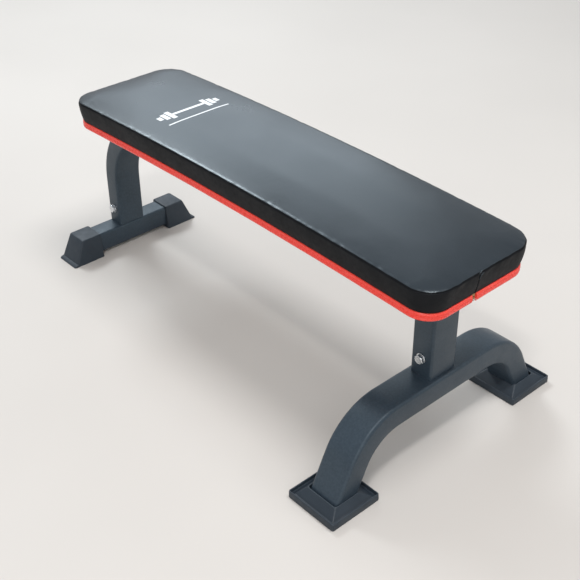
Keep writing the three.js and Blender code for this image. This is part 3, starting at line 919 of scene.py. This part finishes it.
# ---- Plastic feet ----------------------------------------------------------------------------
def foot_loops(side):
    """Rings of an arch foot from its hollow underside out, up, over the rim and in to the socket."""
    low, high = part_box("arch_foot_left" if side < 0 else "arch_foot_right")
    size = high.x - low.x
    cx, cy = (low.x + high.x) / 2, (low.y + high.y) / 2

    def ring(reach, radius, z):
        return flat_loop(size - 2 * reach * MM, size - 2 * reach * MM, radius * MM, z * MM, cx, cy, 6)

    def collar(reach, radius, z, share):
        """Between the bevel's square base and the leg's own section at that height."""
        lean = math.tan(math.radians(90) - ARCH_LEAN)
        lift = (24 - z) * MM
        middle = cy + side * 2 * MM * share + side * lift * lean * (1 if share >= 1 else 0)
        base = (size - 20 * MM) / 2
        hx = base + (35.4 * MM + reach * MM - base) * share
        hy = base + (28.2 * MM + reach * MM - base) * share
        return flat_loop(2 * hx, 2 * hy, radius * MM, z * MM, cx, middle, 6)

    under = [ring(14, 3, 3.2), ring(13, 3, 0.6), ring(12, 3, 0.0)]
    tread = []
    for k in range(2):
        at = 10 - 4 * k
        tread += [ring(at, 3, 0.0), ring(at - 0.4, 3, 1.2), ring(at - 1.6, 3, 1.2), ring(at - 2.0, 3, 0.0)]
    wall = [ring(0.9, 3.4, 0.0), ring(0.25, 3.8, 0.3), ring(0.0, 4, 1.0), ring(0.1, 4, 8.0),
            ring(0.35, 3.8, 14.6),
            ring(0.6, 3.6, 15.4), ring(1.2, 3.2, 15.9), ring(1.9, 2.8, 16.0), ring(2.6, 2.4, 15.8),
            ring(3.1, 2.0, 15.0), ring(3.3, 1.8, 9.9), ring(3.9, 1.6, 9.1), ring(8.6, 1.4, 9.0),
            ring(9.3, 1.4, 9.4)]
    bevel = [collar(0, 2.0, 10.0, 0.0), collar(2.4, 3.4, 21.8, 0.96), collar(2.2, 4.6, 23.4, 1.0),
             collar(1.4, 5.4, 24.0, 1.0), collar(0.6, 6.0, 23.8, 1.0), collar(0.45, 6.2, 22.8, 1.0),
             collar(0.45, 6.2, 3.9, 1.0)]
    return under + tread + wall + bevel


def build_feet():
    for side, name in ((-1, "left"), (1, "right")):
        piece(f"foot_{name}", [loft(foot_loops(side))], PLASTIC,
              (f"arch_foot_{name}",), crease=34)


build_feet()


def cap_loops(side):
    """Rings of a rear end cap, from the floor up; side is -1 or 1 along Y."""
    low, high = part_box("rear_foot_cap_left" if side < 0 else "rear_foot_cap_right")
    inner, outer = (high.y, low.y) if side < 0 else (low.y, high.y)
    reach = abs(outer - inner)
    top = high.z
    half_floor = (high.x - low.x) / 2
    half_top = 28.5 * MM
    slope_floor, slope_top = reach - 7 * MM, 53 * MM

    def ring(z, inset, radius, lip=None):
        share = z / top
        half = half_floor + (half_top - half_floor) * share - inset
        far = lip if lip is not None else slope_floor + (slope_top - slope_floor) * share
        far -= inset
        middle = inner + side * (inset + far) / 2
        return flat_loop(2 * half, far - inset, radius, z, BASE_X, middle, 6)

    return [ring(2.5 * MM, 6 * MM, 3 * MM), ring(0.4 * MM, 5 * MM, 3 * MM), ring(0.0, 4.2 * MM, 3 * MM),
            ring(0.0, 0.6 * MM, 4 * MM, reach), ring(0.5 * MM, 0.0, 4 * MM, reach),
            ring(2.2 * MM, 0.0, 4 * MM, reach - 0.4 * MM), ring(3.2 * MM, 0.1 * MM, 4 * MM, reach - 1.6 * MM),
            ring(4.6 * MM, 0.2 * MM, 4 * MM, reach - 5.2 * MM), ring(6.0 * MM, 0.2 * MM, 4 * MM),
            ring(20 * MM, 0.0, 4 * MM), ring(40 * MM, 0.0, 4 * MM), ring(top - 3.2 * MM, 0.0, 4 * MM),
            ring(top - 1.4 * MM, 0.5 * MM, 4 * MM), ring(top - 0.4 * MM, 1.5 * MM, 4 * MM),
            ring(top, 3.0 * MM, 4 * MM)]


def build_caps():
    for side, name in ((-1, "left"), (1, "right")):
        obj = raw_object(f"base_cap_{name}", *loft(cap_loops(side)), merge=1e-6)
        socket = BASE_HIGH.x - BASE_LOW.x + 0.8 * MM
        middle = (BASE_LOW.z + BASE_HIGH.z) / 2
        ends = (0.07 * side, BASE_HIGH.y * side + 0.3 * MM * side)
        section = rounded_rect(socket, socket, CORNER)
        cutter = raw_object("socket", *loft([[Vector((BASE_X + u, y, middle + v)) for u, v in section]
                                             for y in ends]), merge=1e-6)
        hollow = obj.modifiers.new("hollow", "BOOLEAN")
        hollow.operation = "DIFFERENCE"
        hollow.object = cutter
        applied(obj)
        bpy.data.objects.remove(cutter)
        obj.data.materials.clear()
        obj.data.materials.append(PLASTIC)
        obj.data.shade_smooth()
        obj.data.set_sharp_from_angle(angle=math.radians(34))
        declare(obj, (f"rear_foot_cap_{name}",))


build_caps()


def build_plug():
    """The beam's end plug: a domed face and a plain stem."""
    low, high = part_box("beam_end_plug")
    middle = (low.z + high.z) / 2
    face_x = high.x - 4 * MM

    def ring(x, wide, deep, radius):
        return [Vector((x, u, middle + v)) for u, v in rounded_rect(wide * MM, deep * MM, radius * MM)]

    wide, deep = 70, 45
    loops = [ring(face_x - 13 * MM, 63.2, 38.2, 4), ring(face_x - 0.4 * MM, 63.6, 38.6, 4),
             ring(face_x, 64, 39, 4),
             ring(face_x, wide - 0.6, deep - 0.6, 6), ring(face_x + 0.4 * MM, wide, deep, 6),
             ring(face_x + 2.2 * MM, wide, deep, 6), ring(face_x + 3.2 * MM, wide - 1.6, deep - 1.6, 5.6),
             ring(face_x + 3.8 * MM, wide - 6, deep - 6, 4.5), ring(face_x + 4 * MM, wide - 16, deep - 16, 3)]
    piece("beam_plug", [loft(loops)], PLASTIC, ("beam_end_plug",), crease=34)


build_plug()


# ---- Fixings ---------------------------------------------------------------------------------
def bolt_head(axis, at, across, height):
    """A chamfered hexagon head with its washer face, standing along axis from at."""
    radius = across / 2
    profile = [(radius * 0.5, -0.2 * MM), (radius * 0.97, 0.0), (radius * 0.97, 0.3 * MM),
               (radius * 1.16, 0.35 * MM)]
    profile += [(radius * 1.16, height * 0.72), (radius * 1.10, height * 0.80),
                (radius * 1.04, height * 0.88),
                (radius * 0.98, height * 0.95), (radius * 0.93, height), (radius * 0.5, height - 0.25 * MM),
                (radius * 0.2, height - 0.3 * MM)]
    return turned(profile, axis, at, hexagon(across), 72)


def washer(axis, at, outer, bore, thick):
    """A washer as a turned ring."""
    ease = 0.3 * MM
    loops = []
    for r, h in ((bore, 0.0), (outer - ease, 0.0), (outer, ease), (outer, thick - ease),
                 (outer - ease, thick),
                 (bore + ease, thick), (bore, thick - ease)):
        loops.append((r, h))
    verts, faces = turned(loops, axis, at, None, 48)
    faces = faces[:-2]
    n = 48
    faces += [[j, (j + 1) % n, len(verts) - n + (j + 1) % n, len(verts) - n + j] for j in range(n)]
    return verts, faces


def lock_nut(axis, at, across, height):
    """A hexagon nut with the rounded collar of its locking ring."""
    radius = across / 2
    hexed = height * 0.68
    profile = [(radius * 0.6, 0.0), (radius * 0.94, 0.0), (radius * 1.06, 0.7 * MM),
               (radius * 1.16, 1.3 * MM),
               (radius * 1.16, hexed - 0.8 * MM), (radius * 1.0, hexed), (radius * 0.86, hexed + 0.3 * MM),
               (radius * 0.84, height - 1.0 * MM), (radius * 0.78, height - 0.2 * MM),
               (radius * 0.70, height),
               (radius * 0.60, height - 0.2 * MM)]
    return turned(profile, axis, at, hexagon(across), 72)


def threaded_end(axis, at, radius, length):
    """A bolt's screwed tip."""
    pitch = 1.25 * MM
    profile = [(radius * 0.3, -1 * MM), (radius * 0.86, -1 * MM)]
    turns = int(length / pitch)
    for k in range(turns):
        profile += [(radius * 0.86, pitch * k), (radius, pitch * (k + 0.5))]
    profile += [(radius * 0.86, pitch * turns), (radius * 0.70, length), (radius * 0.2, length)]
    return turned(profile, axis, at, None, 32)


def build_frame_fixings():
    for name in ("front", "rear"):
        low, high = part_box(f"{name}_hex_bolt")
        x, z = (low.x + high.x) / 2, (low.z + high.z) / 2
        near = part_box(f"{name}_bolt_washer")
        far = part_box(f"{name}_nut_washer")
        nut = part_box(f"{name}_lock_nut")
        out, back = (0, -1, 0), (0, 1, 0)
        head_height = near[0].y - low.y - 0.3 * MM
        shank = nut[0].y - near[0].y + 2 * MM
        parts = [bolt_head(out, (x, near[0].y - 0.2 * MM, z), 17 * MM, head_height),
                 turned([(3 * MM, 0.0), (5 * MM, 0.0), (5 * MM, shank), (3 * MM, shank)],
                        back, (x, near[0].y, z), None, 24),
                 threaded_end(back, (x, nut[1].y, z), 5 * MM, high.y - nut[1].y)]
        piece(f"{name}_bolt", parts, ZINC, (f"{name}_hex_bolt",), crease=30)
        thick = near[1].y - near[0].y
        piece(f"{name}_washer_outer", [washer(out, (x, near[1].y, z), 10.5 * MM, 5.3 * MM, thick)], ZINC,
              (f"{name}_bolt_washer",), crease=30)
        piece(f"{name}_washer_inner", [washer(back, (x, far[0].y, z), 10.5 * MM, 5.3 * MM, thick)], ZINC,
              (f"{name}_nut_washer",), crease=30)
        piece(f"{name}_nut", [lock_nut(back, (x, nut[0].y, z), 17 * MM, nut[1].y - nut[0].y)], ZINC,
              (f"{name}_lock_nut",), crease=30)


build_frame_fixings()


def build_pad_fixings():
    down = (0, 0, -1)
    for end in ("rear", "front"):
        low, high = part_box(f"{end}_mount_plate")
        x, half = (low.x + high.x) / 2, (high.x - low.x) / 2
        loops = []
        for inset, z, radius in ((1.2, 0.0, 5), (0.3, 0.3, 6), (0.0, 1.0, 6), (0.0, 4.0, 6), (0.3, 4.7, 6),
                                 (1.2, 5.0, 5)):
            loops.append([Vector((x + px, py, PLATE_REST + z * MM + camber(x + px)))
                          for px, py in rounded_rect(2 * half - 2 * inset * MM,
                                                     high.y - low.y - 2 * inset * MM,
                                                     radius * MM)])
        beads = []
        for side in (-1, 1):
            y = side * (BEAM_WIDE / 2 - 1.5 * MM)
            beads.append(weld([(px, y, PLATE_REST - 1.4 * MM + camber(px))
                               for px in np.linspace(x - half + 4 * MM, x + half - 4 * MM, 6)]))
        piece(f"{end}_plate", [loft(loops)], POWDER, (f"{end}_mount_plate",), crease=40)
        piece(f"{end}_plate_welds", beads, POWDER, crease=80)
        for side in ("left", "right"):
            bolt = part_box(f"pad_bolt_{end}_{side}")
            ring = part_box(f"pad_washer_{end}_{side}")
            bx, by = (ring[0].x + ring[1].x) / 2, (ring[0].y + ring[1].y) / 2
            seat = ring[0].z - 0.2 * MM
            shank = turned([(2 * MM, 0.0), (4 * MM, 0.0), (4 * MM, bolt[1].z - seat),
                            (2 * MM, bolt[1].z - seat)],
                           (0, 0, 1), (bx, by, seat), None, 24)
            head = bolt_head(down, (bx, by, seat), 13 * MM, seat - bolt[0].z)
            piece(f"pad_screw_{end}_{side}", [head, shank],
                  ZINC, (f"pad_bolt_{end}_{side}",), crease=30)
            piece(f"pad_ring_{end}_{side}", [washer(down, (bx, by, ring[1].z), 8.5 * MM, 4.3 * MM, 1.6 * MM)],
                  ZINC, (f"pad_washer_{end}_{side}",), crease=30)


build_pad_fixings()


# ---- Carried-over CAD nodes ------------------------------------------------------------------
def finish_node(name, material):
    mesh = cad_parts[name].data
    mesh.materials.clear()
    mesh.materials.append(material)


for node in ("rear_spigot", "front_spigot"):
    finish_node(node, POWDER)
for node in (f"tee_nut_{end}_{side}" for end in ("rear", "front") for side in ("left", "right")):
    finish_node(node, ZINC)
finish_node("base_board", WOOD)


# ---- Floor, light and camera -----------------------------------------------------------------
def build_floor():
    mesh = bpy.data.meshes.new("floor")
    size = 40.0
    corners = [(-size, -size, 0), (size, -size, 0), (size, size, 0), (-size, size, 0)]
    mesh.from_pydata(corners, [], [[0, 1, 2, 3]])
    floor = bpy.data.objects.new("floor", mesh)
    bpy.context.scene.collection.objects.link(floor)
    s = Shader("pale_floor", Specular_IOR_Level=0.2, Roughness=0.7)
    color = s.ramp(s.noise(1.5, 2.0), (0.3, (0.585, 0.551, 0.518)), (0.7, (0.608, 0.573, 0.539)))
    mesh.materials.append(s.link(Base_Color=color))


def area_light(name, place, target, size, power, color=(1, 1, 1)):
    data = bpy.data.lights.new(name, "AREA")
    data.shape = "RECTANGLE"
    data.size, data.size_y = size
    data.energy = power
    data.color = color
    light = bpy.data.objects.new(name, data)
    light.location = place
    light.rotation_mode = "QUATERNION"
    light.rotation_quaternion = (Vector(target) - Vector(place)).to_track_quat("-Z", "Y")
    bpy.context.scene.collection.objects.link(light)


def build_light():
    world = bpy.data.worlds.new("studio")
    world.use_nodes = True
    background = world.node_tree.nodes["Background"]
    background.inputs["Color"].default_value = (0.96, 0.98, 1.0, 1)
    background.inputs["Strength"].default_value = 0.58
    bpy.context.scene.world = world
    bpy.context.scene.view_settings.view_transform = "Standard"
    area_light("overhead", (1.1, 0.25, 3.5), (-0.3, 0.1, 0), (1.0, 0.9), 46)
    area_light("far_window", (-3.4, 2.8, 2.5), (-0.2, 0, 0.4), (2.4, 1.6), 32, (0.80, 0.91, 1.0))
    area_light("high_window", (-2.5, 0.45, 2.75), (0, 0, 0.4), (1.1, 0.8), 58, (0.88, 0.95, 1.0))
    area_light("right_strip", (2.6, 2.4, 2.7), (0.2, 0, 0.2), (1.8, 0.3), 10, (0.92, 0.96, 1.0))
    area_light("corner_glint", (1.35, -1.55, 3.2), (0.5, -0.1, 0.4), (0.4, 0.25), 30)
    area_light("near_fill", (2.6, -2.4, 1.2), (0.1, 0, 0.2), (2.0, 1.4), 20)


AZIMUTH, ELEVATION, ROLL = math.radians(48.36), math.radians(34.2), math.radians(-0.49)
CAMERA_PLACE = Vector((1.44795, -1.21908, 1.39070))


def build_camera():
    data = bpy.data.cameras.new("camera")
    data.sensor_width = 36.0
    data.lens = 65.15
    camera = bpy.data.objects.new("camera", data)
    back = Vector((math.sin(AZIMUTH) * math.cos(ELEVATION), -math.cos(AZIMUTH) * math.cos(ELEVATION),
                   math.sin(ELEVATION)))
    right = Vector((math.cos(AZIMUTH), math.sin(AZIMUTH), 0))
    up = back.cross(right)
    c, s = math.cos(ROLL), math.sin(ROLL)
    axes = (right * c + up * s, up * c - right * s, back)
    camera.matrix_world = Matrix.Translation(CAMERA_PLACE) @ Matrix(axes).transposed().to_4x4()
    bpy.context.scene.collection.objects.link(camera)
    bpy.context.scene.camera = camera


build_floor()
build_light()
build_camera()
